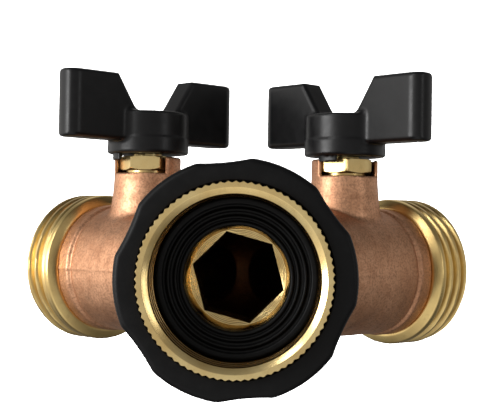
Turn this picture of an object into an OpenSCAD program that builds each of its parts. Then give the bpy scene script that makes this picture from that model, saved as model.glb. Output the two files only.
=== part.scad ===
// Two-way garden hose splitter: swivel inlet, cast Y body and two quarter-turn ball valves.
// Units are millimetres. The origin is on the inlet axis, at the outer end of the full
// inlet thread. The inlet opens toward -Y, the two outlets point outward and toward +Y,
// and the valve stems point up, along +Z. Both valves are drawn closed.

/* [Hose threads] */
// Crest radius of the male outlet thread (3/4 inch hose thread)
male_crest_r = 13.45; // [13.3:0.01:13.5]
// Root radius of the male outlet thread
male_root_r = 12.1; // [12.0:0.01:12.3]
// Crest radius of the female inlet thread
female_crest_r = 12.4; // [12.2:0.01:12.5]
// Root radius of the female inlet thread
female_root_r = 13.6; // [13.5:0.01:13.8]
// Distance from one thread crest to the next
thread_pitch = 2.209; // [2.1:0.001:2.3]

/* [Swivel nut and grip] */
// Tip radius of the knurled ring
knurl_tip_r = 14.4; // [14.2:0.05:15]
// Number of knurl teeth
knurl_teeth = 80; // [40:1:120]
// Radius of the nut behind the knurl
nut_r = 14.1; // [14:0.05:14.6]
// Radius at the outer edge of the lead-in chamfer
lead_in_r = 13.4; // [13.2:0.05:13.7]
// Depth of the lead-in chamfer, in front of the thread
lead_in_depth = 1.2; // [0.8:0.1:1.6]
// Distance from the origin to the nut's rear face
nut_rear_y = 15.1; // [14:0.1:17]
// Radius over the lobes of the grip
grip_lobe_r = 17.9; // [17:0.1:20]
// Radius at the flats between the lobes
grip_valley_r = 17.2; // [16.5:0.1:19]
// Distance from the origin to the front of the grip
grip_front_y = 0.6; // [0.2:0.1:2]
// Distance from the origin to the rear of the grip
grip_rear_y = 16.6; // [15.5:0.1:19]

/* [Hose washer] */
// Outer radius of the washer
washer_r = 12.3; // [12:0.05:12.7]
// Radius of the washer's hole
washer_hole_r = 7.95; // [7:0.05:9]
// Distance from the origin to the washer's front face
washer_front_y = 7.1; // [6.8:0.1:8]
// Distance from the origin to the washer's back face
washer_back_y = 10.2; // [9.8:0.1:11]

/* [Inlet tailpiece] */
// Radius of the flange that holds the nut
flange_r = 11.8; // [11:0.1:12]
// Radius of the shank that the nut turns on
shank_r = 9.3; // [9:0.05:9.5]
// Width across the flats of the key hole, also used in the outlets
key_flats = 12.7; // [12:0.1:13]

/* [Body] */
// Distance from the origin to the front of the neck
neck_front_y = 15.5; // [15.3:0.1:18]
// Radius of the neck
neck_r = 11; // [10:0.1:12]
// Radius of each branch
branch_r = 11.3; // [10.5:0.1:12]
// Radius of the rim at the end of each branch
branch_rim_r = 11.6; // [11:0.1:12.5]
// Angle between each branch and the inlet axis
branch_angle = 45; // [30:1:60]
// Half the distance between the two valve stems
valve_x = 17.75; // [16:0.05:22]
// Distance from the origin to the valve stems, along the inlet axis
valve_y = 43.1; // [38:0.1:50]
// Distance from the valve stem to the end of the branch
branch_end = 10.9; // [10:0.1:14]
// Radius of the boss around each stem
boss_r = 5.93; // [5.5:0.05:7]
// Height of the boss's rim above the centre plane
boss_top_z = 20.1; // [18:0.1:24]
// Height of the floor inside the rim
boss_floor_z = 17; // [15:0.1:20]

/* [Valves] */
// Radius of each ball
ball_r = 7; // [6:0.1:8]
// Radius of the port through each ball
port_r = 4.4; // [4:0.1:5]
// Radius of each stem
stem_r = 2.5; // [2:0.05:3]
// Turn of each handle from closed to open
valve_turn = 90; // [90:1:90]

/* [Outlets] */
// Distance from the valve stem to the outlet's end face
outlet_end = 19.5; // [18:0.1:24]
// Radius of the mouth of each outlet
outlet_mouth_r = 8.6; // [8:0.1:9.5]

/* [Handles] */
// Height of the handle's lower face above the centre plane
handle_z = 20.7; // [20.4:0.1:24]
// Radius of the skirt under the hub
skirt_r = 7.27; // [7:0.05:8]
// Radius of the hub
hub_r = 7.1; // [6:0.1:7.2]
// Distance from the stem to the tip of each wing
wing_reach = 18.9; // [17:0.1:21]
// Thickness of each wing
wing_thickness = 5; // [4:0.1:6]
// Height of the wing tops above the handle's lower face
wing_top = 13.8; // [11:0.1:15]

/* [Hidden] */
thread_flat = 0.35;
nut_front_y = -lead_in_depth;
knurl_depth = 0.3;
knurl_back_y = 1.4;
grip_bore_r = nut_r + 0.02;
grip_knurl_clear_r = knurl_tip_r + 0.1;
grip_edge = 0.9;
grip_lip_r = 12.9;
valley_cut_r = 34;
lobe_angle = 6;

washer_seat_r = washer_r + 0.3;
washer_ridge_1_r = 10.7;
washer_ridge_2_r = 9.2;

flange_front_y = washer_back_y + 0.05;
flange_back_y = 12.75;
flange_bore_r = flange_r + 0.3;
lip_front_y = flange_back_y + 0.1;
lip_r = shank_r + 0.08;
tail_thread_r = 8.9;
tail_bore_r = tail_thread_r + 0.02;
tail_back_y = 24;
tail_key_front_y = 13.7;
key_vertex_r = key_flats / sqrt(3);
tail_cone_r = key_vertex_r + 0.12;
inlet_groove_y = 21.5;
inlet_groove_r = 7.75;
inlet_groove_width = 1.4;

fork_y = valve_y - valve_x;
branch_start = 3 - valve_x * sqrt(2);
fork_r = 11.8;
fork_chamber_r = 6.3;
passage_r = 4.6;

chamber_r = 7.8;
seat_cup_r = ball_r + 0.05;
seat_hole_r = 4.5;
seat_near = 4.6;
inner_seat_back = 8;
outer_seat_back = 7.4;
seat_clear = 0.03;

spigot_r = 9.2;
spigot_bore_r = spigot_r + 0.02;
spigot_groove_r = 8.3;
spigot_groove_front = 8.3;
spigot_groove_back = 9.7;
outlet_shoulder = 1.7;
outlet_edge = 0.7;
outlet_key_front = 9.6;
outlet_key_back = 16;

slot_floor_z = 5.2;
tang_bottom_z = 5.3;
tang_width = 3.1;
slot_width = 3.2;
tang_r = 3.3;
stem_flange_r = 3.5;
stem_flange_bottom_z = 7.4;
stem_flange_top_z = 8.8;
stem_pocket_r = 3.8;
stem_pocket_top_z = 9.3;
stem_bore_r = 2.56;
stem_flats_z = 20.4;
stem_flat_half = 1.9;
stem_top_z = handle_z + 4;
groove_r = 1.75;
groove_width = 1;
lower_groove_z = 9.9;
upper_groove_z = 11.9;
packing_bottom_z = 13.5;
packing_top_z = 15.3;
packing_r = 3.8;
gland_bore_r = 2.58;
gland_hex_z = 17.7;
gland_top_z = 20.25;
gland_flats = 9;
gland_vertex_r = gland_flats / sqrt(3);

rim_inner_r = 5.35;
notch_start_left = 186;
notch_start_right = 219;
lug_angle = 34;
notch_angle = valve_turn + lug_angle + 1;
lug_bottom_z = boss_top_z - 0.6;
lug_inner_r = 5.4;
lug_outer_r = 6.3;

skirt_height = 3;
hub_top = 7.4;
wing_bottom = 2.1;
saddle_foot_u = 4.2;
saddle_top_u = 8.3;
screw_recess_r = 3.5;
screw_recess_floor = 5.7;
socket_depth = 4.1;
screw_head_r = 2.9;
screw_head_h = 1.5;
screw_r = 1.4;
screw_hole_r = 1.42;
screw_tip_z = handle_z - 1.5;
screw_pilot_z = handle_z - 2.5;

detail = 96;
through = 60;

cast_brass = [0.71, 0.47, 0.37];
machined_brass = [0.82, 0.64, 0.32];
dark_plastic = [0.03, 0.03, 0.035];
dark_rubber = [0.05, 0.05, 0.05];
seat_white = [0.9, 0.9, 0.88];
bright_steel = [0.75, 0.75, 0.77];

// Placement: side is -1 for the left valve and 1 for the right valve.
module along_inlet(from_y) {
  translate([0, from_y, 0]) rotate([-90, 0, 0]) rotate([0, 0, 90]) children();
}

module at_stem(side) {
  translate([side * valve_x, valve_y, 0]) children();
}

module along_branch(side, from_stem) {
  at_stem(side) rotate([0, 0, -side * branch_angle]) translate([0, from_stem, 0])
    rotate([-90, 0, 0]) rotate([0, 0, 90]) children();
}

// A ring whose section is a list of [radius, distance along the axis] points.
module turned(section) {
  rotate_extrude($fn = detail) polygon(section);
}

module rod(r, h) {
  cylinder(r = r, h = h, $fn = detail);
}

module hex_rod(vertex_r, h, first = 45) {
  linear_extrude(height = h) polygon([for (i = [0 : 5])
    [vertex_r * cos(60 * i + first), vertex_r * sin(60 * i + first)]]);
}

module sector(start, angle, reach, h) {
  steps = 5;
  linear_extrude(height = h) polygon(concat([[0, 0]], [for (i = [0 : steps])
    [reach * cos(start + angle * i / steps), reach * sin(start + angle * i / steps)]]));
}

module o_ring(inner_r, outer_r) {
  translate([0, 0, (outer_r - inner_r) / 2]) rotate_extrude($fn = detail)
    translate([(inner_r + outer_r) / 2, 0]) circle(r = (outer_r - inner_r) / 2, $fn = 32);
}

// One thread form, as points from the crest edge down to the root and back.
function thread_form(crest_r, root_r, start) = [
  [crest_r, start + thread_flat],
  [root_r, start + thread_pitch / 2 - thread_flat / 2],
  [root_r, start + thread_pitch / 2 + thread_flat / 2],
  [crest_r, start + thread_pitch - thread_flat]];

function thread_points(crest_r, root_r, start, turns) =
  [for (i = [0 : turns - 1]) for (p = thread_form(crest_r, root_r, start + i * thread_pitch)) p];

module body() color(cast_brass) difference() {
  union() {
    along_inlet(neck_front_y) rod(neck_r, fork_y - neck_front_y);
    translate([0, fork_y, 0]) rotate([-90, 0, 0]) sphere(r = fork_r, $fn = detail);
    for (side = [-1, 1]) {
      along_branch(side, branch_start) rod(branch_r, branch_end - 1 - branch_start);
      along_branch(side, branch_end - 3) turned([[0, 0], [branch_rim_r - 0.3, 0],
        [branch_rim_r, 0.4], [branch_rim_r, 2.6], [branch_rim_r - 0.4, 3], [0, 3]]);
      at_stem(side) turned([[0, 0], [8.6, 0], [8.6, 9], [7.4, 10.9], [6.75, 12], [6.35, 13.4],
        [boss_r + 0.1, 15.6], [boss_r, boss_top_z - 0.3], [boss_r - 0.3, boss_top_z],
        [0, boss_top_z]]);
    }
  }
  along_inlet(0) rod(tail_bore_r, tail_back_y + 0.2);
  translate([0, fork_y, 0]) rotate([-90, 0, 0]) sphere(r = fork_chamber_r, $fn = detail);
  for (side = [-1, 1]) {
    along_branch(side, branch_start) rod(passage_r, -branch_start);
    along_branch(side, -inner_seat_back) rod(chamber_r, inner_seat_back + outer_seat_back + 0.5);
    along_branch(side, outer_seat_back) rod(spigot_bore_r, branch_end);
    at_stem(side) rod(stem_pocket_r, stem_pocket_top_z);
    at_stem(side) rod(stem_bore_r, boss_top_z);
    at_stem(side) translate([0, 0, packing_bottom_z]) rod(packing_r + 0.02, boss_top_z);
    at_stem(side) translate([0, 0, boss_floor_z]) rod(rim_inner_r, boss_top_z);
    at_stem(side) translate([0, 0, boss_floor_z])
      sector(side < 0 ? notch_start_left : notch_start_right, notch_angle, boss_r * 2, 10);
  }
}

module inlet_tailpiece() color(machined_brass) difference() {
  along_inlet(0) turned([[0, flange_front_y], [flange_r - 0.3, flange_front_y],
    [flange_r, flange_front_y + 0.3], [flange_r, flange_back_y], [shank_r, flange_back_y],
    [shank_r, neck_front_y - 0.05], [tail_thread_r, neck_front_y - 0.05],
    [tail_thread_r, inlet_groove_y], [inlet_groove_r, inlet_groove_y],
    [inlet_groove_r, inlet_groove_y + inlet_groove_width],
    [tail_thread_r, inlet_groove_y + inlet_groove_width],
    [tail_thread_r, tail_back_y - 0.4], [tail_thread_r - 0.4, tail_back_y], [0, tail_back_y]]);
  along_inlet(0) turned([[0, flange_front_y - 1], [washer_hole_r + 0.2, flange_front_y - 1],
    [washer_hole_r + 0.2, flange_front_y], [tail_cone_r, tail_key_front_y],
    [0, tail_key_front_y]]);
  along_inlet(tail_key_front_y - 0.5) hex_rod(key_vertex_r, through);
}

module inlet_o_ring() color(dark_rubber)
  along_inlet(inlet_groove_y + 0.1) o_ring(inlet_groove_r + 0.02, tail_thread_r - 0.01);

module swivel_nut() color(machined_brass) difference() {
  union() {
    along_inlet(nut_front_y) linear_extrude(height = knurl_back_y - nut_front_y)
      polygon([for (i = [0 : 2 * knurl_teeth - 1])
        let (r = knurl_tip_r - (i % 2) * knurl_depth, a = 180 * i / knurl_teeth)
        [r * cos(a), r * sin(a)]]);
    along_inlet(nut_front_y + 0.5) rod(nut_r, nut_rear_y - nut_front_y - 0.5);
  }
  along_inlet(0) turned(concat(
    [[0, nut_front_y - 1], [lead_in_r + 1, nut_front_y - 1], [lead_in_r, nut_front_y],
     [female_crest_r, 0]],
    thread_points(female_crest_r, female_root_r, 0, 3),
    [[female_crest_r, 3 * thread_pitch], [washer_seat_r, 3 * thread_pitch + 0.1],
     [washer_seat_r, washer_back_y], [flange_bore_r, washer_back_y],
     [flange_bore_r, lip_front_y], [lip_r, lip_front_y], [lip_r, nut_rear_y + 1],
     [0, nut_rear_y + 1]]));
}

module swivel_grip() color(dark_plastic) difference() {
  intersection() {
    along_inlet(0) turned([[0, grip_front_y], [grip_lobe_r - grip_edge, grip_front_y],
      [grip_lobe_r - grip_edge * 0.3, grip_front_y + grip_edge * 0.3],
      [grip_lobe_r, grip_front_y + grip_edge], [grip_lobe_r, grip_rear_y - grip_edge],
      [grip_lobe_r - grip_edge * 0.3, grip_rear_y - grip_edge * 0.3],
      [grip_lobe_r - grip_edge, grip_rear_y], [0, grip_rear_y]]);
    along_inlet(grip_front_y - 1) difference() {
      rod(grip_lobe_r + 1, grip_rear_y - grip_front_y + 2);
      for (i = [0 : 5]) rotate([0, 0, -(lobe_angle + 120 + 60 * i)])
        translate([grip_valley_r + valley_cut_r, 0, -1]) rod(valley_cut_r, through);
    }
  }
  along_inlet(0) turned([[0, grip_front_y - 1], [grip_knurl_clear_r, grip_front_y - 1],
    [grip_knurl_clear_r, knurl_back_y + 0.1], [grip_bore_r, knurl_back_y + 0.1],
    [grip_bore_r, nut_rear_y + 0.05], [grip_lip_r, nut_rear_y + 0.05],
    [grip_lip_r, grip_rear_y + 1], [0, grip_rear_y + 1]]);
}

module hose_washer() color(dark_rubber) along_inlet(0) turned([
  [washer_hole_r, washer_front_y + 0.25], [washer_hole_r + 0.25, washer_front_y],
  [washer_ridge_2_r, washer_front_y], [washer_ridge_2_r, washer_front_y + 0.5],
  [washer_ridge_1_r, washer_front_y + 0.5], [washer_ridge_1_r, washer_front_y + 0.1],
  [washer_r - 0.3, washer_front_y + 0.1], [washer_r, washer_front_y + 0.4],
  [washer_r, washer_back_y], [washer_hole_r, washer_back_y]]);

module outlet_connector(side) color(machined_brass) difference() {
  along_branch(side, 0) turned(concat(
    [[0, outer_seat_back + 0.02], [spigot_r, outer_seat_back + 0.02],
     [spigot_r, spigot_groove_front], [spigot_groove_r, spigot_groove_front],
     [spigot_groove_r, spigot_groove_back], [spigot_r, spigot_groove_back],
     [spigot_r, branch_end + 0.02], [male_crest_r - 1.5, branch_end + 0.02],
     [male_crest_r - 0.12, branch_end + 0.8], [male_crest_r, branch_end + 1.1],
     [male_crest_r, branch_end + outlet_shoulder]],
    thread_points(male_crest_r, male_root_r, branch_end + outlet_shoulder - 0.35, 3),
    [[male_crest_r, outlet_end - outlet_edge], [male_crest_r - outlet_edge, outlet_end],
     [0, outlet_end]]));
  along_branch(side, outlet_key_back) rod(outlet_mouth_r, outlet_end);
  along_branch(side, outlet_key_front) hex_rod(key_vertex_r, outlet_end);
  along_branch(side, 0) rod(passage_r, outlet_end);
}

module outlet_o_ring(side) color(dark_rubber) along_branch(side, spigot_groove_front + 0.25)
  o_ring(spigot_groove_r + 0.02, spigot_r - 0.01);

// A seat: a short ring with a spherical cup that faces the ball.
module seat(side, from_stem, length) color(seat_white) difference() {
  along_branch(side, from_stem) rod(chamber_r - seat_clear, length);
  along_branch(side, from_stem - 1) rod(seat_hole_r, length + 2);
  at_stem(side) sphere(r = seat_cup_r, $fn = detail);
}

module inner_seat(side) seat(side, -inner_seat_back + seat_clear,
  inner_seat_back - seat_near - seat_clear);

module outer_seat(side) seat(side, seat_near, outer_seat_back - seat_near);

module ball(side) color(bright_steel) difference() {
  at_stem(side) sphere(r = ball_r, $fn = detail);
  at_stem(side) rotate([0, 0, -side * branch_angle]) {
    translate([-through / 2, 0, 0]) rotate([0, 90, 0]) rod(port_r, through);
    translate([-slot_width / 2, -through / 2, slot_floor_z]) cube([slot_width, through, ball_r]);
  }
}

module stem(side) color(machined_brass) at_stem(side) difference() {
  union() {
    intersection() {
      translate([0, 0, tang_bottom_z]) rod(tang_r, stem_flange_bottom_z - tang_bottom_z + 0.5);
      rotate([0, 0, -side * branch_angle]) translate([-tang_width / 2, -tang_r, 0])
        cube([tang_width, 2 * tang_r, stem_flange_top_z]);
    }
    turned([[0, stem_flange_bottom_z], [stem_flange_r, stem_flange_bottom_z],
      [stem_flange_r, stem_flange_top_z], [stem_r, stem_flange_top_z],
      [stem_r, lower_groove_z], [groove_r, lower_groove_z],
      [groove_r, lower_groove_z + groove_width], [stem_r, lower_groove_z + groove_width],
      [stem_r, upper_groove_z], [groove_r, upper_groove_z],
      [groove_r, upper_groove_z + groove_width], [stem_r, upper_groove_z + groove_width],
      [stem_r, stem_flats_z], [0, stem_flats_z]]);
    intersection() {
      translate([0, 0, stem_flats_z - 0.5]) rod(stem_r, stem_top_z - stem_flats_z + 0.5);
      rotate([0, 0, -side * branch_angle])
        translate([-stem_flat_half, -stem_r, 0]) cube([2 * stem_flat_half, 2 * stem_r, through]);
    }
  }
  translate([0, 0, screw_pilot_z]) rod(screw_hole_r, through);
}

module stem_o_rings(side) color(dark_rubber) at_stem(side)
  for (z = [lower_groove_z, upper_groove_z])
    translate([0, 0, z + 0.1]) o_ring(groove_r + 0.01, stem_bore_r - 0.02);

module thrust_washer(side) color(seat_white) at_stem(side)
  translate([0, 0, stem_flange_top_z + 0.05]) difference() {
    rod(stem_pocket_r - seat_clear, stem_pocket_top_z - stem_flange_top_z - 0.08);
    translate([0, 0, -1]) rod(gland_bore_r, through);
  }

module packing_ring(side) color(seat_white) at_stem(side)
  translate([0, 0, packing_bottom_z + seat_clear]) difference() {
    rod(packing_r, packing_top_z - packing_bottom_z - 2 * seat_clear);
    translate([0, 0, -1]) rod(gland_bore_r, through);
  }

module gland_nut(side) color(machined_brass) at_stem(side) difference() {
  union() {
    translate([0, 0, packing_top_z]) rod(packing_r, gland_hex_z - packing_top_z + 0.5);
    intersection() {
      translate([0, 0, gland_hex_z])
        hex_rod(gland_vertex_r, gland_top_z - gland_hex_z + 1, side < 0 ? 0 : 33);
      turned([[0, packing_top_z], [gland_vertex_r + 0.4, packing_top_z],
        [gland_vertex_r + 0.4, gland_top_z - 0.5], [gland_flats / 2 + 0.25, gland_top_z],
        [0, gland_top_z]]);
    }
  }
  rod(gland_bore_r, through);
}

// One wing's side view, as [distance from the stem, height] points.
module wing_side() {
  polygon([[0, wing_bottom], [wing_reach, wing_bottom], [wing_reach, wing_top - 0.7],
    [wing_reach - 0.7, wing_top], [saddle_top_u, wing_top], [saddle_foot_u, hub_top],
    [0, hub_top]]);
}

module handle(side) color(dark_plastic) at_stem(side) difference() {
  union() {
    translate([0, 0, handle_z]) rotate([0, 0, -side * branch_angle]) {
      turned([[0, 0], [skirt_r - 0.3, 0], [skirt_r, 0.3], [skirt_r, skirt_height - 0.4],
        [skirt_r - 0.5, skirt_height], [0, skirt_height]]);
      turned([[0, 0], [hub_r, 0], [hub_r, hub_top - 0.5], [hub_r - 0.5, hub_top], [0, hub_top]]);
      for (turn = [0, 180]) rotate([0, 0, turn]) intersection() {
        translate([0, wing_thickness / 2, 0]) rotate([90, 0, 0])
          linear_extrude(height = wing_thickness) wing_side();
        union() {
          translate([0, -wing_thickness, 0])
            cube([wing_reach - wing_thickness / 2, 2 * wing_thickness, wing_top]);
          translate([wing_reach - wing_thickness / 2, 0, 0]) rod(wing_thickness / 2, wing_top);
        }
      }
    }
    translate([0, 0, lug_bottom_z]) intersection() {
      difference() {
        rod(lug_outer_r, handle_z + 1 - lug_bottom_z);
        translate([0, 0, -1]) rod(lug_inner_r, handle_z + 1 - lug_bottom_z);
      }
      sector((side < 0 ? notch_start_left : notch_start_right) + 0.5, lug_angle, 9, through);
    }
  }
  intersection() {
    rod(stem_r + 0.02, handle_z + socket_depth);
    rotate([0, 0, -side * branch_angle]) translate([-stem_flat_half - 0.02, -stem_r - 1, 0])
      cube([2 * stem_flat_half + 0.04, 2 * stem_r + 2, handle_z + socket_depth]);
  }
  rod(screw_hole_r + 0.1, through);
  translate([0, 0, handle_z + screw_recess_floor]) rod(screw_recess_r, through);
}

module handle_screw(side) color(bright_steel) at_stem(side) difference() {
  turned([[0, screw_tip_z], [screw_r - 0.4, screw_tip_z], [screw_r, screw_tip_z + 0.4],
    [screw_r, handle_z + screw_recess_floor + 0.02],
    [screw_head_r, handle_z + screw_recess_floor + 0.02],
    [screw_head_r, handle_z + screw_recess_floor + screw_head_h * 0.5],
    [screw_head_r * 0.8, handle_z + screw_recess_floor + screw_head_h * 0.85],
    [screw_head_r * 0.45, handle_z + screw_recess_floor + screw_head_h],
    [0, handle_z + screw_recess_floor + screw_head_h]]);
  for (turn = [0, 90]) rotate([0, 0, turn + 20])
    translate([-1.6, -0.35, handle_z + screw_recess_floor + screw_head_h - 0.9])
      cube([3.2, 0.7, 2]);
}

body();
inlet_tailpiece();
inlet_o_ring();
swivel_nut();
swivel_grip();
hose_washer();
outlet_connector(-1);  // left_outlet_connector
outlet_o_ring(-1);  // left_outlet_o_ring
inner_seat(-1);  // left_inner_seat
outer_seat(-1);  // left_outer_seat
ball(-1);  // left_ball
stem(-1);  // left_stem
stem_o_rings(-1);  // left_stem_o_rings
thrust_washer(-1);  // left_thrust_washer
packing_ring(-1);  // left_packing_ring
gland_nut(-1);  // left_gland_nut
handle(-1);  // left_handle
handle_screw(-1);  // left_handle_screw
outlet_connector(1);  // right_outlet_connector
outlet_o_ring(1);  // right_outlet_o_ring
inner_seat(1);  // right_inner_seat
outer_seat(1);  // right_outer_seat
ball(1);  // right_ball
stem(1);  // right_stem
stem_o_rings(1);  // right_stem_o_rings
thrust_washer(1);  // right_thrust_washer
packing_ring(1);  // right_packing_ring
gland_nut(1);  // right_gland_nut
handle(1);  // right_handle
handle_screw(1);  // right_handle_screw
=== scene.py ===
"""Looks for a two-way hose splitter. Lengths are millimetres until they go into a mesh."""
import math

import bpy
import numpy as np
from mathutils import Matrix, Vector

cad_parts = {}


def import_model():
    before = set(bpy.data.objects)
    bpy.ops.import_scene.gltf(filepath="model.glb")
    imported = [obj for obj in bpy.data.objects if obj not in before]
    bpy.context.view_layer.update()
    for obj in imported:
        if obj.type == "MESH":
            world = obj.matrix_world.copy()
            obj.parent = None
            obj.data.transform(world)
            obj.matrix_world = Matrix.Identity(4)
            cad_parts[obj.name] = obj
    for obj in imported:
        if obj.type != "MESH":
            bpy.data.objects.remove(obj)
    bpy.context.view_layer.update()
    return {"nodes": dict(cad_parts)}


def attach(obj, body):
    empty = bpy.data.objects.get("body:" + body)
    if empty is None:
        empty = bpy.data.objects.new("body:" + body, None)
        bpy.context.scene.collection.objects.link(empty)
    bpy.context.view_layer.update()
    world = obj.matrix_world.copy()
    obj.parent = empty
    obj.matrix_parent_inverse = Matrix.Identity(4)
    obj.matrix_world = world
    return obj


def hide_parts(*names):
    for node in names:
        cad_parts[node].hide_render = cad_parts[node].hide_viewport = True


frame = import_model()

MM = 0.001
NODES = frame["nodes"]

# Sizes repeated from the CAD source.
MALE_CREST_R, FEMALE_CREST_R = 13.45, 12.4
PITCH = 2.209
KNURL_TIP_R, KNURL_TEETH = 14.4, 80
LEAD_IN_DEPTH = 1.2
NUT_REAR_Y = 15.1
GRIP_LOBE_R, GRIP_VALLEY_R, VALLEY_CUT_R = 17.9, 17.2, 34
GRIP_FRONT_Y, GRIP_REAR_Y = 0.6, 16.6
WASHER_R, WASHER_HOLE_R, WASHER_BACK_Y = 12.3, 7.95, 10.2
FLANGE_R, SHANK_R, TAIL_THREAD_R, TAIL_BACK_Y = 11.8, 9.3, 8.9, 24.0
FLANGE_FRONT_Y = WASHER_BACK_Y + 0.05
KEY_INRADIUS = 6.35
NECK_FRONT_Y, NECK_R = 15.5, 11.0
BRANCH_R, BRANCH_RIM_R = 11.3, 11.6
VALVE_X, VALVE_Y = 17.75, 43.1
FORK_Y = VALVE_Y - VALVE_X
BRANCH_END, OUTLET_END = 10.9, 19.5
BOSS_TOP_Z = 20.1
NOTCH_START, NOTCH_ANGLE = {-1: 186, 1: 219}, 125
HANDLE_Z, HUB_R, SKIRT_R = 20.7, 7.1, 7.27
WING_REACH, WING_TOP, WING_THICKNESS = 18.9, 13.8, 5.0
LUG_ANGLE = 34
HALF_ROOT = math.sqrt(0.5)
SIDES = ((-1, "left"), (1, "right"))


# ---------------------------------------------------------------- placement
def placement(origin, x_axis, z_axis):
    """Matrix that puts a local frame at origin, with the given local x and z directions."""
    z = Vector(z_axis).normalized()
    x = Vector(x_axis).normalized()
    y = z.cross(x)
    m = Matrix((x, y, z)).transposed().to_4x4()
    m.translation = Vector(origin)
    return m


INLET = placement((0, 0, 0), (1, 0, 0), (0, 1, 0))


def branch_place(side):
    return placement((side * VALVE_X, VALVE_Y, 0), (HALF_ROOT, -side * HALF_ROOT, 0),
                     (side * HALF_ROOT, HALF_ROOT, 0))


def stem_place(side):
    """Local x lies along the wings of the closed handle."""
    a = math.radians(-45 * side)
    return placement((side * VALVE_X, VALVE_Y, 0), (math.cos(a), math.sin(a), 0), (0, 0, 1))


# ---------------------------------------------------------------- meshes
def add_mesh(name, points, faces, place, sharp_angle):
    """A smooth-shaded mesh of quads, with edges above sharp_angle degrees kept sharp."""
    matrix = np.array(place)
    points = points @ matrix[:3, :3].T + matrix[:3, 3]
    mesh = bpy.data.meshes.new(name)
    mesh.vertices.add(len(points))
    mesh.vertices.foreach_set("co", (points * MM).astype(np.float32).ravel())
    mesh.loops.add(faces.size)
    mesh.loops.foreach_set("vertex_index", faces.astype(np.int32).ravel())
    mesh.polygons.add(len(faces))
    mesh.polygons.foreach_set("loop_start", np.arange(len(faces), dtype=np.int32) * 4)
    mesh.update(calc_edges=True)
    mesh.validate()
    mesh.polygons.foreach_set("use_smooth", np.ones(len(mesh.polygons), dtype=bool))
    mesh.set_sharp_from_angle(angle=math.radians(sharp_angle))
    piece = bpy.data.objects.new(name, mesh)
    bpy.context.collection.objects.link(piece)
    return piece


def angles(count, phase=0.0):
    return phase + np.arange(count) * 2 * math.pi / count


def turned(name, rows, place, count, sharp_angle, phase=0.0):
    """A closed ring. Each row is (radius, distance along the axis); either may be an array."""
    theta = angles(count, phase)
    radius = np.array([np.broadcast_to(r, count) for r, _ in rows], dtype=float)
    along = np.array([np.broadcast_to(a, count) for _, a in rows], dtype=float)
    points = np.stack([radius * np.cos(theta), radius * np.sin(theta), along], axis=2)
    m = len(rows)
    i = np.arange(m)[:, None]
    j = np.arange(count)[None, :]
    i2, j2 = (i + 1) % m, (j + 1) % count
    faces = np.stack([i * count + j, i * count + j2, i2 * count + j2, i2 * count + j], axis=2)
    return add_mesh(name, points.reshape(-1, 3), faces.reshape(-1, 4), place, sharp_angle)


def soft(points, size, steps=3):
    """An open profile with its inner corners rounded off."""
    out = [points[0]]
    for before, here, after in zip(points, points[1:], points[2:]):
        a, p, b = (np.array(q, dtype=float) for q in (before, here, after))
        la, lb = np.linalg.norm(a - p), np.linalg.norm(b - p)
        cut = min(size, 0.45 * la, 0.45 * lb)
        p0, p1 = p + (a - p) / la * cut, p + (b - p) / lb * cut
        for k in range(steps + 1):
            t = k / steps
            out.append(tuple((1 - t) ** 2 * p0 + 2 * t * (1 - t) * p + t * t * p1))
    out.append(points[-1])
    return out


def hexagon(theta, inradius, vertex_angle):
    """Radius of a hexagon at each angle."""
    a = (theta - vertex_angle) % (math.pi / 3) - math.pi / 6
    return inradius / np.cos(a)


def smoothstep(low, high, x):
    t = np.clip((x - low) / (high - low), 0, 1)
    return t * t * (3 - 2 * t)


def thread_wave(along, theta):
    """0 at the root and 1 at the crest of a right-handed thread."""
    t = np.abs((along / PITCH - theta / (2 * math.pi)) % 1 - 0.5) * 2
    return 1 - smoothstep(0.16, 0.86, t)


def piece_done(piece, body, material, slot, *nodes):
    """Gives a piece its material and the body it rides on, and hides the CAD nodes it stands for.
    """
    piece.data.materials.clear()
    piece.data.materials.append(material)
    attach(piece, body)
    if nodes:
        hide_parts(*nodes)


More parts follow.
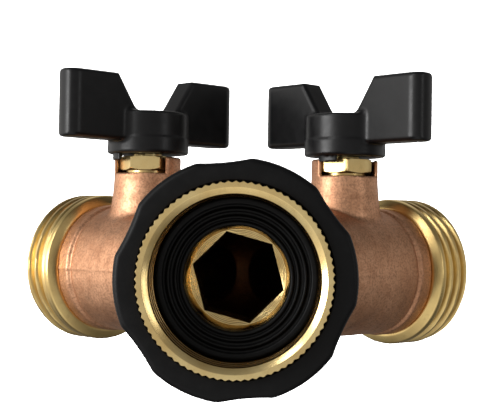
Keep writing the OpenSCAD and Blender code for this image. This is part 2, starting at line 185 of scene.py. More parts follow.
# ---------------------------------------------------------------- solids from distances
def surface_net(distance, low, high, step):
    """Quads on the zero level of a distance function: one point in each cell that the level
    crosses, and one quad for each grid edge that it crosses."""
    axes = [np.arange(low[k], high[k] + step, step) for k in range(3)]
    grid = np.meshgrid(*axes, indexing="ij")
    value = distance(*[g.astype(np.float32) for g in grid])
    inside = value < 0
    n = inside.shape
    total = np.zeros((n[0] - 1, n[1] - 1, n[2] - 1), dtype=np.uint8)
    for i in (0, 1):
        for j in (0, 1):
            for k in (0, 1):
                total += inside[i:n[0] - 1 + i, j:n[1] - 1 + j, k:n[2] - 1 + k]
    active = (total > 0) & (total < 8)
    cells = np.argwhere(active)
    index = np.full(active.shape, -1, dtype=np.int64)
    index[active] = np.arange(len(cells))
    where = np.zeros((len(cells), 3))
    hits = np.zeros(len(cells))
    for axis in range(3):
        unit = np.eye(3, dtype=int)[axis]
        others = [k for k in range(3) if k != axis]
        for a in (0, 1):
            for b in (0, 1):
                start = np.zeros(3, dtype=int)
                start[others[0]], start[others[1]] = a, b
                c0, c1 = cells + start, cells + start + unit
                v0, v1 = value[tuple(c0.T)], value[tuple(c1.T)]
                crosses = (v0 < 0) != (v1 < 0)
                t = np.where(crosses, v0 / np.where(crosses, v0 - v1, 1), 0)
                where += np.where(crosses[:, None], c0 + t[:, None] * unit, 0)
                hits += crosses
    points = np.array(low) + step * where / hits[:, None]
    faces = []
    for axis in range(3):
        u, v = [k for k in range(3) if k != axis]
        first = [slice(None)] * 3
        second = [slice(None)] * 3
        first[axis], second[axis] = slice(0, -1), slice(1, None)
        s0, s1 = inside[tuple(first)], inside[tuple(second)]
        edges = np.argwhere(s0 != s1)
        edges = edges[(edges[:, u] > 0) & (edges[:, v] > 0)]
        edges = edges[(edges[:, u] < n[u] - 1) & (edges[:, v] < n[v] - 1)]
        du, dv = np.eye(3, dtype=int)[u], np.eye(3, dtype=int)[v]
        quad = np.stack([index[tuple((edges - du - dv).T)], index[tuple((edges - dv).T)],
                         index[tuple(edges.T)], index[tuple((edges - du).T)]], axis=1)
        flip = s0[tuple(edges.T)]
        if axis == 1:
            flip = ~flip
        quad[~flip] = quad[~flip][:, ::-1]
        faces.append(quad)
    faces = np.concatenate(faces)
    # move the points onto the level along its gradient
    h = 0.03
    for _ in range(3):
        x, y, z = points.T
        f = distance(x, y, z)
        g = np.stack([distance(x + h, y, z) - distance(x - h, y, z),
                      distance(x, y + h, z) - distance(x, y - h, z),
                      distance(x, y, z + h) - distance(x, y, z - h)], axis=1) / (2 * h)
        size = np.maximum((g * g).sum(axis=1), 0.2)
        move = -(f / size)[:, None] * g
        points = points + np.clip(move, -0.4 * step, 0.4 * step)
    return points, faces


def blend_in(a, b, k):
    """Union with a fillet of about size k."""
    h = np.clip(0.5 + 0.5 * (b - a) / k, 0, 1)
    return b + (a - b) * h - k * h * (1 - h)


def cut_from(a, b, k):
    """a with b taken away, and a round of about size k on the edge."""
    return -blend_in(-a, b, k)


def rounded(a, b, r):
    """Where both a and b are inside, with an edge round of radius r."""
    a, b = a + r, b + r
    return (np.minimum(np.maximum(a, b), 0)
            + np.sqrt(np.maximum(a, 0) ** 2 + np.maximum(b, 0) ** 2) - r)


def tube(radial, along, r, low, high):
    """Distance to a plain cylinder between two heights."""
    return np.maximum(radial - r, np.abs(along - (low + high) / 2) - (high - low) / 2)


def polygon_distance(px, py, corners):
    """Signed distance to a closed outline, negative inside."""
    best = np.full(px.shape, 1e9)
    inside = np.zeros(px.shape, dtype=bool)
    for (ax, ay), (bx, by) in zip(corners, corners[1:] + corners[:1]):
        ex, ey = bx - ax, by - ay
        wx, wy = px - ax, py - ay
        t = np.clip((wx * ex + wy * ey) / (ex * ex + ey * ey), 0, 1)
        best = np.minimum(best, (wx - ex * t) ** 2 + (wy - ey * t) ** 2)
        crosses = (ay > py) != (by > py)
        with np.errstate(divide="ignore", invalid="ignore"):
            at = ax + (py - ay) * (ex / ey if ey else 0)
        inside ^= crosses & (px < at)
    return np.where(inside, -1, 1) * np.sqrt(best)


def sector_distance(x, y, start, width):
    """Signed distance to a wedge of less than 180 degrees, from its apex at the origin."""
    a, b = math.radians(start), math.radians(start + width)
    first = math.sin(a) * x - math.cos(a) * y
    last = -math.sin(b) * x + math.cos(b) * y
    return np.maximum(first, last)


# ---------------------------------------------------------------- materials
def link(tree, out, inp):
    tree.links.new(out, inp)


def node(tree, kind, **values):
    """A shader node with its properties or its input values set by name."""
    n = tree.nodes.new(kind)
    for key, value in values.items():
        if hasattr(n, key):
            setattr(n, key, value)
        else:
            n.inputs[key.replace("_", " ")].default_value = value
    return n


def new_material(name, **shader):
    mat = bpy.data.materials.new(name)
    mat.use_nodes = True
    tree = mat.node_tree
    bsdf = tree.nodes["Principled BSDF"]
    for key, value in shader.items():
        bsdf.inputs[key.replace("_", " ")].default_value = value
    coords = tree.nodes.new("ShaderNodeTexCoord").outputs["Object"]
    return mat, tree, bsdf, coords


def noise(tree, vector, scale, detail=3.0, rough=0.5):
    n = node(tree, "ShaderNodeTexNoise", Scale=scale, Detail=detail, Roughness=rough)
    link(tree, vector, n.inputs["Vector"])
    return n.outputs["Fac"]


def ramp(tree, fac, stops):
    """A colour ramp through (position, colour) stops."""
    n = tree.nodes.new("ShaderNodeValToRGB")
    elements = n.color_ramp.elements
    while len(elements) < len(stops):
        elements.new(0.5)
    for element, (position, colour) in zip(elements, stops):
        element.position = position
        element.color = (*colour, 1)
    link(tree, fac, n.inputs["Fac"])
    return n.outputs["Color"]


def grey(value):
    return (value, value, value)


def mix(tree, fac, a, b):
    """a where fac is 0 and b where it is 1. Each may be a socket, a number or a colour."""
    n = tree.nodes.new("ShaderNodeMix")
    n.data_type = "RGBA"
    for sock, value in ((n.inputs[0], fac), (n.inputs[6], a), (n.inputs[7], b)):
        if hasattr(value, "is_output"):
            link(tree, value, sock)
        elif isinstance(value, (int, float)):
            sock.default_value = value
        else:
            sock.default_value = (*value, 1)
    return n.outputs[2]


def math_node(tree, op, a, b=None, c=None):
    n = tree.nodes.new("ShaderNodeMath")
    n.operation = op
    for sock, value in zip(n.inputs, (a, b, c)):
        if value is None:
            continue
        if hasattr(value, "is_output"):
            link(tree, value, sock)
        else:
            sock.default_value = value
    return n.outputs[0]


def bump(tree, height, strength, distance, under=None):
    n = node(tree, "ShaderNodeBump", Strength=strength, Distance=distance)
    link(tree, height, n.inputs["Height"])
    if under is not None:
        link(tree, under, n.inputs["Normal"])
    return n.outputs["Normal"]


def turning_coords(tree, coords, centre, axis):
    """(distance from the axis, distance along it, 0) in metres."""
    sub = tree.nodes.new("ShaderNodeVectorMath")
    sub.operation = "SUBTRACT"
    link(tree, coords, sub.inputs[0])
    sub.inputs[1].default_value = [c * MM for c in centre]
    cross = tree.nodes.new("ShaderNodeVectorMath")
    cross.operation = "CROSS_PRODUCT"
    link(tree, sub.outputs[0], cross.inputs[0])
    cross.inputs[1].default_value = axis
    length = tree.nodes.new("ShaderNodeVectorMath")
    length.operation = "LENGTH"
    link(tree, cross.outputs[0], length.inputs[0])
    dot = tree.nodes.new("ShaderNodeVectorMath")
    dot.operation = "DOT_PRODUCT"
    link(tree, sub.outputs[0], dot.inputs[0])
    dot.inputs[1].default_value = axis
    both = tree.nodes.new("ShaderNodeCombineXYZ")
    link(tree, length.outputs["Value"], both.inputs[0])
    link(tree, dot.outputs["Value"], both.inputs[1])
    return both.outputs[0]


def turned_brass(name, centre, axis, base=(0.91, 0.71, 0.34), roughness=(0.16, 0.30),
                 line=0.35, recess_shade=False):
    """Bright brass with fine rings round its axis. With recess_shade, painted shade darkens it
    further in behind its front edge, where the thread lies recessed.
    """
    dark = (0.74, 0.52, 0.21)
    mat, tree, bsdf, coords = new_material(name, Metallic=1.0)
    lines = turning_coords(tree, coords, centre, axis)
    fine = noise(tree, lines, 9000.0, 4.0, 0.65)
    broad = noise(tree, lines, 1500.0, 2.0)
    patch = noise(tree, coords, 170.0, 4.0, 0.6)
    stain = noise(tree, coords, 900.0, 3.0, 0.6)
    colour = mix(tree, ramp(tree, patch, [(0.35, grey(0)), (0.7, grey(1))]), base, dark)
    colour = mix(tree, ramp(tree, stain, [(0.56, grey(0)), (0.75, grey(0.35))]), colour,
                 tuple(0.75 * c for c in dark))
    if recess_shade:
        # painted shade: the brass turns dark brown further in behind the front edge, inside the
        # recessed thread
        depth = tree.nodes.new("ShaderNodeSeparateXYZ")
        link(tree, lines, depth.inputs[0])
        far_in = math_node(tree, "MULTIPLY_ADD", depth.outputs["Y"], 2500.0, 0.9)
        colour = mix(tree, ramp(tree, far_in, [(0.0, grey(0)), (1.0, grey(0.85))]), colour,
                     (0.20, 0.12, 0.05))
    link(tree, colour, bsdf.inputs["Base Color"])
    low, high = roughness
    link(tree, ramp(tree, mix(tree, 0.5, fine, patch), [(0.3, grey(low)), (0.75, grey(high))]),
         bsdf.inputs["Roughness"])
    normal = bump(tree, broad, line * 0.6, 0.00006)
    link(tree, bump(tree, fine, line, 0.00002, normal), bsdf.inputs["Normal"])
    return mat


def cast_brass():
    """Shot-blasted castings: reddish and grainy, with painted shade making them nearly black inside
    the bores.
    """
    mat, tree, bsdf, coords = new_material("cast_brass_blasted", Metallic=1.0)
    grain = noise(tree, coords, 2700.0, 3.0, 0.6)
    pits = noise(tree, coords, 1500.0, 3.0, 0.55)
    patch = noise(tree, coords, 110.0, 5.0, 0.62)
    smear = noise(tree, coords, 420.0, 4.0, 0.6)
    colour = ramp(tree, patch, [(0.30, (0.80, 0.45, 0.27)), (0.52, (0.70, 0.38, 0.22)),
                                (0.74, (0.54, 0.27, 0.15))])
    colour = mix(tree, ramp(tree, smear, [(0.50, grey(0)), (0.72, grey(0.55))]), colour,
                 (0.44, 0.22, 0.12))
    colour = mix(tree, ramp(tree, pits, [(0.25, grey(0.22)), (0.45, grey(0))]), colour,
                 (0.28, 0.13, 0.07))
    colour = mix(tree, ramp(tree, grain, [(0.45, grey(0.0)), (0.62, grey(0.6))]), colour,
                 (0.38, 0.19, 0.11))
    # painted shade: nearly black wherever a point lies deep under the outer skin, in the bores and
    # recesses
    inside = node(tree, "ShaderNodeAttribute", attribute_name="depth").outputs["Fac"]
    colour = mix(tree, inside, colour, (0.055, 0.024, 0.011))
    link(tree, colour, bsdf.inputs["Base Color"])
    link(tree, ramp(tree, smear, [(0.3, grey(0.42)), (0.7, grey(0.60))]),
         bsdf.inputs["Roughness"])
    normal = bump(tree, smear, 0.35, 0.00012)
    normal = bump(tree, pits, 0.55, 0.00008, normal)
    link(tree, bump(tree, grain, 0.6, 0.00005, normal), bsdf.inputs["Normal"])
    return mat


def moulded(name, base, roughness, grain_scale, grain, specular, dust):
    """Plastic or rubber with a fine grain and slightly lighter, dusty patches."""
    mat, tree, bsdf, coords = new_material(name, Specular_IOR_Level=specular)
    texture = noise(tree, coords, grain_scale, 2.0)
    wave = noise(tree, coords, 130.0, 2.0)
    patch = noise(tree, coords, 600.0, 4.0, 0.6)
    colour = mix(tree, ramp(tree, patch, [(0.45, grey(0)), (0.8, grey(1))]), base,
                 tuple(c + dust for c in base))
    link(tree, colour, bsdf.inputs["Base Color"])
    low, high = roughness
    link(tree, ramp(tree, patch, [(0.3, grey(low)), (0.7, grey(high))]),
         bsdf.inputs["Roughness"])
    normal = bump(tree, wave, 0.25, 0.0002)
    link(tree, bump(tree, texture, grain, 0.00004, normal), bsdf.inputs["Normal"])
    return mat


def plated(name, base, roughness):
    mat, tree, bsdf, coords = new_material(name, Metallic=1.0)
    scratch = noise(tree, coords, 2500.0, 4.0, 0.7)
    patch = noise(tree, coords, 400.0, 3.0)
    link(tree, mix(tree, ramp(tree, patch, [(0.4, grey(0)), (0.7, grey(1))]), base,
                   tuple(0.8 * c for c in base)), bsdf.inputs["Base Color"])
    low, high = roughness
    link(tree, ramp(tree, scratch, [(0.3, grey(low)), (0.7, grey(high))]),
         bsdf.inputs["Roughness"])
    link(tree, bump(tree, scratch, 0.15, 0.00002), bsdf.inputs["Normal"])
    return mat


BLASTED = cast_brass()
INLET_BRASS = turned_brass("machined_brass_inlet", (0, 0, 0), (0, 1, 0), recess_shade=True)
CONE_BRASS = turned_brass("machined_brass_cone", (0, 0, 0), (0, 1, 0), line=0.6)
OUTLET_BRASS = {side: turned_brass("machined_brass_" + word, (side * VALVE_X, VALVE_Y, 0),
                                   (side * HALF_ROOT, HALF_ROOT, 0), base=(0.92, 0.69, 0.29),
                                   roughness=(0.24, 0.38))
                for side, word in SIDES}
STEM_BRASS = {side: turned_brass("machined_brass_stem_" + word, (side * VALVE_X, VALVE_Y, 0),
                                 (0, 0, 1), roughness=(0.26, 0.42))
              for side, word in SIDES}
GRIP = moulded("grip_plastic_matte", (0.002, 0.002, 0.0024), (0.40, 0.52), 2600.0, 0.3, 0.19,
               0.002)
HANDLE = moulded("handle_plastic_satin", (0.004, 0.004, 0.0048), (0.30, 0.40), 2200.0, 0.15,
                 0.3, 0.002)
RUBBER = moulded("rubber_black", (0.004, 0.004, 0.004), (0.36, 0.52), 3400.0, 0.4, 0.16, 0.003)
SEAT = moulded("seat_white", (0.82, 0.82, 0.79), (0.35, 0.5), 2600.0, 0.12, 0.5, 0.0)
BALL = plated("ball_plating", (0.80, 0.80, 0.82), (0.06, 0.14))
STEEL = plated("screw_zinc", (0.74, 0.75, 0.77), (0.22, 0.38))


# ---------------------------------------------------------------- cast body
FORK_CHAMBER_R = 7.6
BOSS_R = 5.95
RIM_FLOOR_Z = 17.15
# (radius, from, to): water way, ball chamber and outlet bore, from the stem along the branch
BRANCH_BORES = ((4.6, -25.1, 0), (7.8, -8.0, 7.9), (9.22, 7.4, 14.0))
# (radius, from, to): O-ring bore, stem hole, gland bore and rim, up the boss
BOSS_BORES = ((3.8, 0, 9.3), (2.56, 0, 22.0), (3.82, 13.5, 22.0), (5.35, RIM_FLOOR_Z, 22.0))


def body_distance(x, y, z, part="all"):
    """Distance to the casting, or with part="depth" how far inside its outer skin a point is."""
    neck = tube(np.sqrt(x * x + z * z), y, NECK_R, NECK_FRONT_Y, 30.0)
    hollow = tube(np.sqrt(x * x + z * z), y, TAIL_THREAD_R + 0.02, 10.0, TAIL_BACK_Y + 0.2)
    fork = np.sqrt(x * x + (y - FORK_Y) ** 2 + z * z) - FORK_CHAMBER_R
    hollow = np.minimum(hollow, fork)
    branches, bosses = [], []
    for side in (-1, 1):
        sx, sy = x - side * VALVE_X, y - VALVE_Y
        along = (side * sx + sy) * HALF_ROOT
        across = (sx - side * sy) * HALF_ROOT
        radial = np.sqrt(across * across + z * z)
        groove = 0.22 * np.exp(-((along - 7.5) / 0.30) ** 2)
        pipe = tube(radial + groove, along, BRANCH_R, -25.1, 9.5)
        rim = rounded(radial - BRANCH_RIM_R, np.abs(along - 9.4) - 1.5, 0.35)
        branches.append(blend_in(pipe, rim, 0.25))
        post_r = np.sqrt(sx * sx + sy * sy)
        flare = BOSS_R + 0.8 * np.clip((17 - z) / 8, 0, 1.3) ** 1.6
        half_height = BOSS_TOP_Z / 2
        bosses.append(rounded((post_r - flare) * 0.98, np.abs(z - half_height) - half_height,
                              0.28))
        for bore_r, low, high in BRANCH_BORES:
            hollow = np.minimum(hollow, tube(radial, along, bore_r, low, high))
        for bore_r, low, high in BOSS_BORES:
            hollow = np.minimum(hollow, tube(post_r, z, bore_r, low, high))
        notch = sector_distance(sx, sy, NOTCH_START[side], NOTCH_ANGLE)
        hollow = np.minimum(hollow, np.maximum(notch, RIM_FLOOR_Z - z))
    outer = blend_in(branches[0], branches[1], 3.5)
    outer = blend_in(outer, neck, 3.0)
    # the casting's slight unevenness, then its parting line along the middle plane
    uneven = (np.sin(0.83 * x + 1.3) * np.sin(0.71 * y + 0.4) * np.sin(0.93 * z + 2.1)
              + 0.5 * np.sin(1.9 * x - 0.7) * np.sin(1.6 * y + 1.9))
    outer = outer + 0.05 * uneven
    for boss in bosses:
        outer = blend_in(outer, boss, 0.6)
    outer = outer - 0.11 * np.exp(-(z / 0.32) ** 2) * smoothstep(16.0, 18.0, y)
    if part == "depth":
        return -outer
    ends = NECK_FRONT_Y - y
    for side in (-1, 1):
        along = (side * (x - side * VALVE_X) + (y - VALVE_Y)) * HALF_ROOT
        ends = np.maximum(ends, along - BRANCH_END)
    outer = cut_from(outer, -ends, 0.2)
    return cut_from(outer, hollow, 0.14)


points, faces = surface_net(body_distance, (-34.2, 15.0, -12.6), (34.2, 59.6, 20.8), 0.32)
body = add_mesh("cast_body", points, faces, Matrix.Identity(4), 60)
# mask for the painted shade inside the bores: 1 deep under the outer skin, 0 on it
depth = body.data.attributes.new("depth", "FLOAT", "POINT")
depth.data.foreach_set("value", smoothstep(0.7, 1.6, body_distance(*points.T, part="depth"))
                       .astype(np.float32))
piece_done(body, "housing", BLASTED, "cast_brass", "body")


# ---------------------------------------------------------------- handles
WING = [(0, 2.1), (WING_REACH, 2.1), (WING_REACH, WING_TOP), (8.4, WING_TOP), (4.2, 7.4),
        (0, 7.4)]


def handle_distance(side):
    # half a degree clear of the notch's end, in the closed handle's own frame
    lug_start = NOTCH_START[side] + 0.5 + 45 * side

    def distance(x, y, z):
        u = np.abs(x)
        side_view = polygon_distance(u, z, WING)
        tip = WING_THICKNESS / 2
        plan = np.sqrt(np.maximum(u - WING_REACH + tip, 0) ** 2 + y * y) - tip
        wing = rounded(side_view, plan, 0.75)
        radial = np.sqrt(x * x + y * y)
        hub = rounded(radial - HUB_R, np.abs(z - 3.7) - 3.7, 0.5)
        skirt = rounded(radial - SKIRT_R, np.abs(z - 1.5) - 1.5, 0.4)
        lug = np.maximum(np.abs(radial - 5.85) - 0.45,
                         np.maximum(np.abs(z) - 1.2,
                                    sector_distance(x, y, lug_start, LUG_ANGLE)))
        shape = np.minimum(blend_in(blend_in(hub, wing, 1.1), skirt, 0.25), lug)
        hole = tube(radial, z, 3.5, 5.7, 20)
        hole = np.minimum(hole, tube(radial, z, 1.52, -5, 20))
        socket = np.maximum(np.abs(x) - 1.92, np.maximum(radial - 2.52, z - 4.1))
        return cut_from(cut_from(shape, hole, 0.3), socket, 0.05)
    return distance


for side, word in SIDES:
    points, faces = surface_net(handle_distance(side), (-19.8, -8.0, -4.2), (19.8, 8.0, 14.6), 0.27)
    points[:, 2] += HANDLE_Z
    piece = add_mesh(word + "_butterfly_handle", points, faces, stem_place(side), 60)
    piece_done(piece, word + "_valve", HANDLE, "handle_plastic", word + "_handle")


# ---------------------------------------------------------------- swivel nut, grip, washer
def swivel_nut():
    tooth_shape = np.array([1.0, 0.72, 0.3, 0.0, 0.3, 0.72])
    count = KNURL_TEETH * len(tooth_shape)
    theta = angles(count)
    tooth = tooth_shape[np.arange(count) % len(tooth_shape)]
    outer_r, front = 14.06, -LEAD_IN_DEPTH

    def knurl(depth, inset=0.0):
        return KNURL_TIP_R - inset - depth * (1 - tooth)

    rows = [(outer_r, NUT_REAR_Y - 0.1), (outer_r, 1.55), (knurl(0.27, 0.12), 1.42),
            (knurl(0.27), 1.25), (knurl(0.27), 0.2), (knurl(0.27), -0.95),
            (knurl(0.25, 0.05), -1.12), (knurl(0.21, 0.14), front)]
    rows += soft([(13.9, front), (13.42, front), (12.50, -0.62), (12.42, -0.02),
                  (FEMALE_CREST_R, 0.0)], 0.07)[1:-1]
    for a in np.arange(0.05, 6.75, 0.11):
        wave = thread_wave(a, theta)
        fade = smoothstep(-0.4, 0.9, a) * (1 - smoothstep(5.9, 6.7, a))
        rows.append((FEMALE_CREST_R + 1.15 * (1 - wave) * fade, a))
    rows += soft([(FEMALE_CREST_R, 6.75), (12.6, 6.85), (12.6, WASHER_BACK_Y),
                  (12.1, WASHER_BACK_Y), (12.1, 12.85), (9.38, 12.85), (9.38, NUT_REAR_Y),
                  (outer_r, NUT_REAR_Y), (outer_r, NUT_REAR_Y - 0.1)], 0.15)[1:-1]
    return turned("turned_swivel_nut", rows, INLET, count, 40)


def swivel_grip():
    count = 540
    theta = angles(count)
    valley = (theta - math.radians(36) + math.pi / 6) % (math.pi / 3) - math.pi / 6
    far = GRIP_VALLEY_R + VALLEY_CUT_R
    cut = far * np.cos(valley) - np.sqrt(VALLEY_CUT_R ** 2 - (far * np.sin(valley)) ** 2)
    # the local angle runs the other way round from the front
    cut = cut[(-np.arange(count)) % count]
    outline = blend_in(np.full(count, GRIP_LOBE_R), cut, 0.12)
    edge = 0.95
    quarter = [math.pi / 2 * k / 8 for k in range(9)]
    rows = []
    for a in quarter:
        rows.append((outline - edge + edge * math.sin(a),
                     GRIP_FRONT_Y + edge - edge * math.cos(a)))
    for y in np.linspace(2.0, 15.2, 12):
        rows.append((outline, y))
    for a in quarter:
        rows.append((outline - edge + edge * math.cos(a),
                     GRIP_REAR_Y - edge + edge * math.sin(a)))
    rows += soft([(16.0, GRIP_REAR_Y), (12.9, GRIP_REAR_Y), (12.9, 15.15), (14.12, 15.15),
                  (14.12, 1.5), (14.5, 1.5), (14.5, GRIP_FRONT_Y), (15.2, GRIP_FRONT_Y)],
                 0.18)[1:-1]
    return turned("lobed_grip", rows, INLET, count, 40)


def hose_washer():
    """Flat rubber washer with three ridges on its front."""
    rows = soft([(10.0, WASHER_BACK_Y), (WASHER_R, WASHER_BACK_Y), (WASHER_R, 7.3),
                 (12.0, 7.15), (11.3, 7.2),
                 (11.1, 7.6), (10.75, 7.6), (10.55, 7.15), (10.2, 7.15), (10.0, 7.65),
                 (9.6, 7.65), (9.4, 7.2), (9.1, 7.2), (8.95, 7.55), (8.7, 7.55), (8.55, 7.12),
                 (8.2, 7.12), (WASHER_HOLE_R, 7.4), (WASHER_HOLE_R, WASHER_BACK_Y),
                 (9.9, WASHER_BACK_Y)], 0.16, 4)[1:-1]
    return turned("moulded_washer", rows, INLET, 192, 50)


piece_done(swivel_nut(), "swivel", INLET_BRASS, "machined_brass", "swivel_nut")
piece_done(swivel_grip(), "swivel", GRIP, "grip_plastic", "swivel_grip")
piece_done(hose_washer(), "swivel", RUBBER, "black_rubber", "hose_washer")


# ---------------------------------------------------------------- inlet tailpiece
def tailpiece():
    count, vertex = 192, math.radians(-45)
    theta = angles(count, vertex)
    key = hexagon(theta, KEY_INRADIUS, vertex)
    face_r, face_depth, dish, groove = 7.5, 13.7, 0.45, 0.24
    rows = soft([(9.0, FLANGE_FRONT_Y), (FLANGE_R, FLANGE_FRONT_Y), (FLANGE_R, 12.75),
                 (SHANK_R, 12.75), (SHANK_R, 15.45), (TAIL_THREAD_R, 15.45),
                 (TAIL_THREAD_R, 21.5), (7.75, 21.5), (7.75, 22.9), (TAIL_THREAD_R, 22.9),
                 (TAIL_THREAD_R, TAIL_BACK_Y), (7.5, TAIL_BACK_Y), (7.4, 23.98)], 0.12)[1:-1]
    rows += [(key, 23.9), (key, 20.0), (key, 17.0), (key, face_depth + 0.05)]
    # the dished face round the key hexagon, with the turning grooves that its tool left
    for share in np.linspace(0, 1, 32):
        r = key + 0.03 + (face_r - key - 0.03) * share
        depth = face_depth - dish * (r - KEY_INRADIUS)
        rows.append((r, depth + 0.018 * np.cos(2 * math.pi * r / groove)))
    rim_depth = face_depth - dish * (face_r - KEY_INRADIUS)
    rows += soft([(face_r, rim_depth + 0.05), (face_r + 0.05, rim_depth - 0.15),
                  (8.15, FLANGE_FRONT_Y), (9.0, FLANGE_FRONT_Y)], 0.12)[1:-1]
    return turned("broached_tailpiece", rows, INLET, count, 30, vertex)


piece_done(tailpiece(), "housing", CONE_BRASS, "machined_brass", "inlet_tailpiece")


# ---------------------------------------------------------------- outlet connectors
def outlet_connector(side, word):
    count = 240
    theta = angles(count)
    key = hexagon(theta, KEY_INRADIUS, 0.0)
    base = BRANCH_END + 0.02
    rows = soft([(4.6, 8.5), (4.6, 7.42), (9.2, 7.42), (9.2, 8.3), (8.3, 8.3), (8.3, 9.7),
                 (9.2, 9.7), (9.2, base), (11.9, base), (13.3, base + 0.7),
                 (MALE_CREST_R, base + 1.4)], 0.25)[1:-1]
    for a in np.arange(12.35, OUTLET_END - 0.04, 0.11):
        wave = thread_wave(a, theta)
        fade = smoothstep(12.3, 13.5, a)
        r = MALE_CREST_R - 1.3 * (1 - wave) * fade
        chamfer = MALE_CREST_R - 1.1 * np.clip((a - 18.6) / 0.9, 0, 1)
        rows.append((np.minimum(r, chamfer), a))
    rows += soft([(12.4, 19.44), (12.3, OUTLET_END), (8.8, OUTLET_END), (8.6, 19.3),
                  (8.6, 16.0), (7.6, 16.0)], 0.12)[1:-1]
    rows += [(7.5, 16.0), (np.minimum(key + 0.02, 7.4), 15.98), (key, 15.8), (key, 12.5),
             (key, 9.62), (np.minimum(key, 6.3), 9.6), (4.75, 9.6), (4.6, 9.45)]
    return turned(word + "_threaded_outlet", rows, branch_place(side), count, 34)


# ---------------------------------------------------------------- gland nuts
def gland_nut(side, word):
    count, hex_z, top_z = 96, 17.7, 20.25
    theta = angles(count)
    rows = soft([(2.58, 18.0), (2.58, 15.3), (3.8, 15.3), (3.8, hex_z), (4.3, hex_z)],
                0.1)[1:-1]
    flats = hexagon(theta, 4.5, math.radians(16.5 + 1.5 * side))
    # closely spaced where a chamfer cuts the flats
    for z in (hex_z, 17.76, 17.85, 17.95, 18.1, 18.6, 19.1, 19.5, 19.7, 19.85, 19.97, 20.08,
              20.16):
        top_cone = 4.85 + (top_z - z) * 1.5
        low_cone = 4.46 + (z - hex_z) * 2.2
        rows.append((np.minimum(np.minimum(flats, top_cone), low_cone), z))
    rows += [(4.45, top_z), (3.2, top_z), (2.72, top_z), (2.6, 20.16)]
    return turned(word + "_hex_gland", rows, stem_place(side), count, 30)


for side, word in SIDES:
    piece_done(outlet_connector(side, word), "housing", OUTLET_BRASS[side], "machined_brass",
               word + "_outlet_connector")
    piece_done(gland_nut(side, word), "housing", STEM_BRASS[side], "machined_brass",
               word + "_gland_nut")


# ---------------------------------------------------------------- pieces kept from the CAD
def keep(node_name, material):
    piece = NODES[node_name]
    if not piece.material_slots:
        piece.data.materials.append(material)
    for slot in piece.material_slots:
        slot.material = material


keep("inlet_o_ring", RUBBER)
for side, word in SIDES:
    for ring in ("_outlet_o_ring", "_stem_o_rings"):
        keep(word + ring, RUBBER)
    for ring in ("_inner_seat", "_outer_seat", "_thrust_washer", "_packing_ring"):
        keep(word + ring, SEAT)
    keep(word + "_ball", BALL)
    keep(word + "_stem", STEM_BRASS[side])
    keep(word + "_handle_screw", STEEL)


# ---------------------------------------------------------------- floor, light, camera
def backdrop():
    """One sheet, in metres: a pale floor that sweeps up behind the object. It shows in no
    reflection and throws no light back."""
    floor_z, front_y, bend_y, bend, half_width, top_z = -0.0186, -0.9, 0.35, 0.3, 1.6, 1.6
    section = [(front_y, floor_z), (bend_y, floor_z)]
    for k in range(1, 13):
        a = math.pi / 2 * k / 12
        section.append((bend_y + bend * math.sin(a), floor_z + bend * (1 - math.cos(a))))
    section.append((bend_y + bend, top_z))
    points, faces = [], []
    for y, z in section:
        points += [(-half_width, y, z), (half_width, y, z)]
    for k in range(len(section) - 1):
        faces.append((2 * k, 2 * k + 1, 2 * k + 3, 2 * k + 2))
    mesh = bpy.data.meshes.new("studio_sweep")
    mesh.from_pydata(points, [], faces)
    mesh.polygons.foreach_set("use_smooth", [True] * len(faces))
    sweep = bpy.data.objects.new("studio_sweep", mesh)
    bpy.context.collection.objects.link(sweep)
    mat, tree, bsdf, coords = new_material("pale_paper", Roughness=0.9, Specular_IOR_Level=0.1)
    paper = noise(tree, coords, 60.0, 4.0)
    link(tree, ramp(tree, paper, [(0.3, grey(0.90)), (0.7, grey(0.93))]),
         bsdf.inputs["Base Color"])
    mesh.materials.append(mat)
    sweep.visible_diffuse = False
    sweep.visible_glossy = False
    return sweep


def area_light(name, place, target, size, power, only=None):
    """A rectangular lamp, in metres. With only, it lights nothing but that object."""
    data = bpy.data.lights.new(name, "AREA")
    data.shape = "RECTANGLE"
    data.size, data.size_y = size
    data.energy = power
    lamp = bpy.data.objects.new(name, data)
    bpy.context.collection.objects.link(lamp)
    lamp.location = place
    aim = Vector(target) - Vector(place)
    lamp.rotation_euler = aim.to_track_quat("-Z", "Y").to_euler()
    if only is not None:
        group = bpy.data.collections.new(name + "_on")
        group.objects.link(only)
        lamp.light_linking.receiver_collection = group
        lamp.light_linking.blocker_collection = group


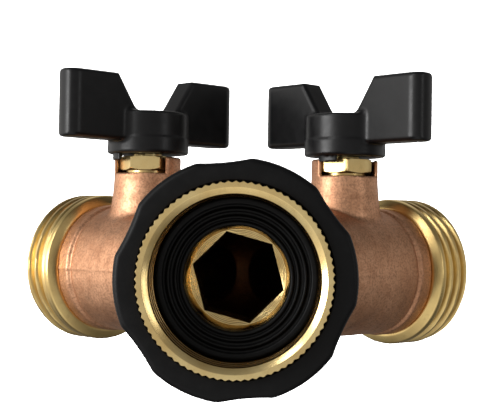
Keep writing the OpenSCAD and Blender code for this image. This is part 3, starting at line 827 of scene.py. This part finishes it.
def camera():
    """The view that was fitted to the object's outlines."""
    yaw, pitch, roll = (math.radians(a) for a in (1.58, 1.24, 0.9))
    place = (6.74, -171.03, 7.28)
    right = Vector((math.cos(yaw), math.sin(yaw), 0))
    ahead = Vector((-math.sin(yaw) * math.cos(pitch), math.cos(yaw) * math.cos(pitch),
                    math.sin(pitch)))
    up = right.cross(ahead)
    right, up = (math.cos(roll) * right + math.sin(roll) * up,
                 math.cos(roll) * up - math.sin(roll) * right)
    data = bpy.data.cameras.new("camera")
    data.sensor_fit = "HORIZONTAL"
    data.sensor_width = 36
    data.lens = 85.64
    data.clip_start = 0.01
    cam = bpy.data.objects.new("camera", data)
    bpy.context.collection.objects.link(cam)
    m = Matrix((right, up, -ahead)).transposed().to_4x4()
    m.translation = Vector(place) * MM
    cam.matrix_world = m
    bpy.context.scene.camera = cam


def world():
    """Soft studio surroundings: a dim room with a broad glow in each listed direction."""
    w = bpy.data.worlds.new("studio")
    bpy.context.scene.world = w
    w.use_nodes = True
    tree = w.node_tree
    ahead = tree.nodes.new("ShaderNodeTexCoord").outputs["Generated"]
    total = None
    for direction, strength, focus in GLOWS:
        dot = tree.nodes.new("ShaderNodeVectorMath")
        dot.operation = "DOT_PRODUCT"
        link(tree, ahead, dot.inputs[0])
        dot.inputs[1].default_value = Vector(direction).normalized()
        facing = math_node(tree, "MAXIMUM", dot.outputs["Value"], 0.0)
        glow = math_node(tree, "MULTIPLY", math_node(tree, "POWER", facing, focus), strength)
        total = math_node(tree, "ADD", glow, ROOM if total is None else total)
    background = tree.nodes["Background"]
    link(tree, total, background.inputs["Strength"])
    background.inputs["Color"].default_value = (1.0, 0.98, 0.95, 1)


# The room's brightness, and its glows: (direction from the object, strength, how narrow).
ROOM = 0.05
GLOWS = [((-0.90, -0.35, 0.12), 1.5, 5.0), ((0.0, -0.3, 1.0), 0.10, 3.0),
         ((0.85, -0.50, 0.10), 0.25, 6.0), ((0.0, 1.0, 0.0), 0.15, 3.0),
         ((-0.87, 0.50, 0.0), 1.0, 8.0), ((0.87, 0.50, 0.0), 0.6, 8.0),
         ((0.0, 0.75, 0.66), 0.55, 8.0),
         ((0.0, -1.0, 0.0), 0.40, 3.0), ((-0.1, -0.6, -0.8), 0.75, 5.0)]

sweep = backdrop()
world()
area_light("key_left", (-0.57, -0.32, 0.07), (0, 0.03, 0.0), (0.30, 0.30), 3.0)
area_light("glint", (-0.38, -0.36, 0.40), (0, 0.0, 0.0), (0.12, 0.12), 0.5)
area_light("fill_right", (0.50, -0.32, 0.10), (0, 0.03, 0.0), (0.10, 0.35), 0.28)
area_light("paper_wash", (0.0, -0.1, 0.9), (0, 0.35, 0.0), (1.0, 0.6), 40, only=sweep)
camera()
bpy.context.scene.view_settings.view_transform = "Standard"
